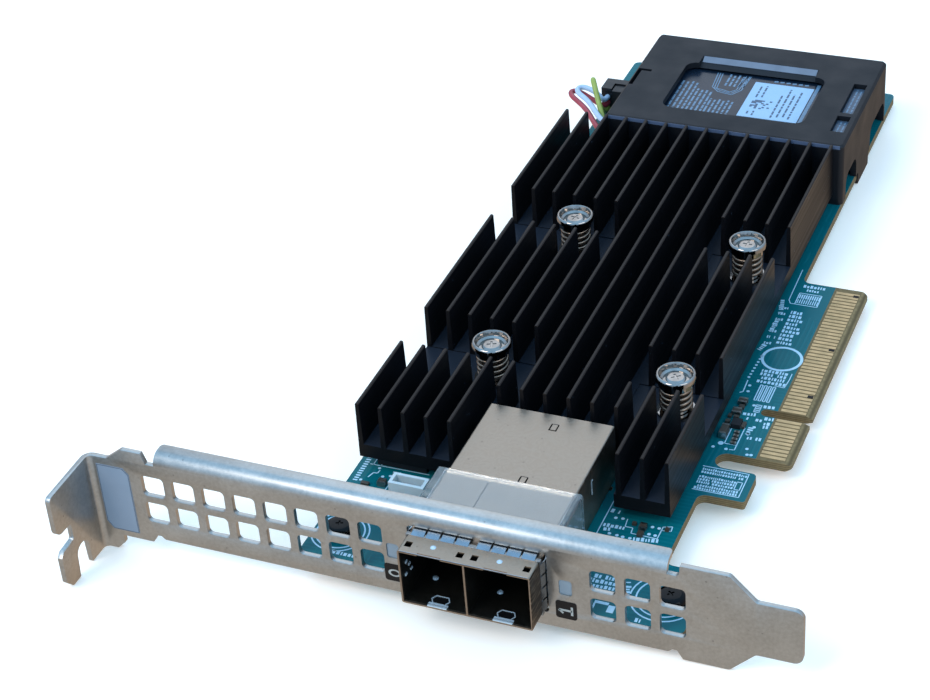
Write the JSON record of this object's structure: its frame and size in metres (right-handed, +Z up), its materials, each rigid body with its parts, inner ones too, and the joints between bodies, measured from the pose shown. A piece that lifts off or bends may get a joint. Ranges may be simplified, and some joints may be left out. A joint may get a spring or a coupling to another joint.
{
  "type": "raid controller card",
  "caption": "Expansion card for storage drives: vented slot bracket, caged cable ports, finned black heat sink on sprung screws, edge connector and a battery module under a moulded cover.",
  "frame": {"origin": "datum corner of the slot bracket: the planes of the screw tab's outer face, of the bracket's outer face and of the bracket's lower long edge meet there", "axes": "+X along the bracket from the screw tab to the tongue, which is also the way the edge connector plugs in; +Y from the bracket's outer face along the card; +Z up out of the component side"},
  "size_m": [0.12, 0.1829, 0.0215],
  "materials": {
    "bracket_steel": "satin zinc plate",
    "black_oxide": "black oxide",
    "board": "green solder mask on glass fibre",
    "gold": "hard gold plate",
    "cage_nickel": "nickel plate",
    "spring_steel": "bright spring steel",
    "black_moulding": "glass filled moulding",
    "clear_plastic": "clear moulding",
    "lamp": "clear epoxy",
    "black_anodise": "black anodised",
    "bright_screw": "bright nickel",
    "nut_brass": "plain",
    "substrate": "laminate",
    "thermal_pad": "soft silicone",
    "chip_black": "moulded epoxy",
    "inductor": "pressed ferrite",
    "capacitor": "fired ceramic",
    "cream_plastic": "nylon",
    "housing_black": "fine textured moulding",
    "cell_film": "printed film wrap",
    "foam": "closed cell foam",
    "label_paper": "bare label",
    "plug_black": "nylon",
    "lead_red": "vinyl insulation",
    "lead_white": "vinyl insulation",
    "lead_yellow": "vinyl insulation",
    "film_grey": "bare polyester film",
    "plate_brown": "printed film"
  },
  "bodies": {
    "root": {"bracket": "bracket_steel", "bracket_screws": "black_oxide", "circuit_board": "board", "edge_contacts_top": "gold", "edge_contacts_bottom": "gold", "port_cage": "cage_nickel", "cage_divider": "cage_nickel", "shield_collar": "spring_steel", "port_receptacle_0": "black_moulding", "port_receptacle_1": "black_moulding", "receptacle_contacts": "gold", "light_guide": "clear_plastic", "status_lamps": "lamp", "heat_sink": "black_anodise", "heat_sink_screws": "bright_screw", "screw_springs": "spring_steel", "screw_washers": "bright_screw", "board_nuts": "nut_brass", "controller_substrate": "substrate", "controller_lid": "cage_nickel", "thermal_pad": "thermal_pad", "memory_pads": "thermal_pad", "memory_chips": "chip_black", "support_chips": "chip_black", "power_inductors": "inductor", "chip_capacitors": "capacitor", "solder_side_parts": "capacitor", "small_header": "cream_plastic", "small_header_pins": "gold", "battery_housing": "housing_black", "battery_pack": "cell_film", "battery_foam": "foam", "battery_label": "label_paper", "battery_header": "black_moulding", "battery_plug": "plug_black", "battery_lead_red": "lead_red", "battery_lead_white": "lead_white", "battery_lead_yellow": "lead_yellow", "bracket_label": "film_grey", "port_number_plates": "plate_brown"}
  },
  "joints": []
}
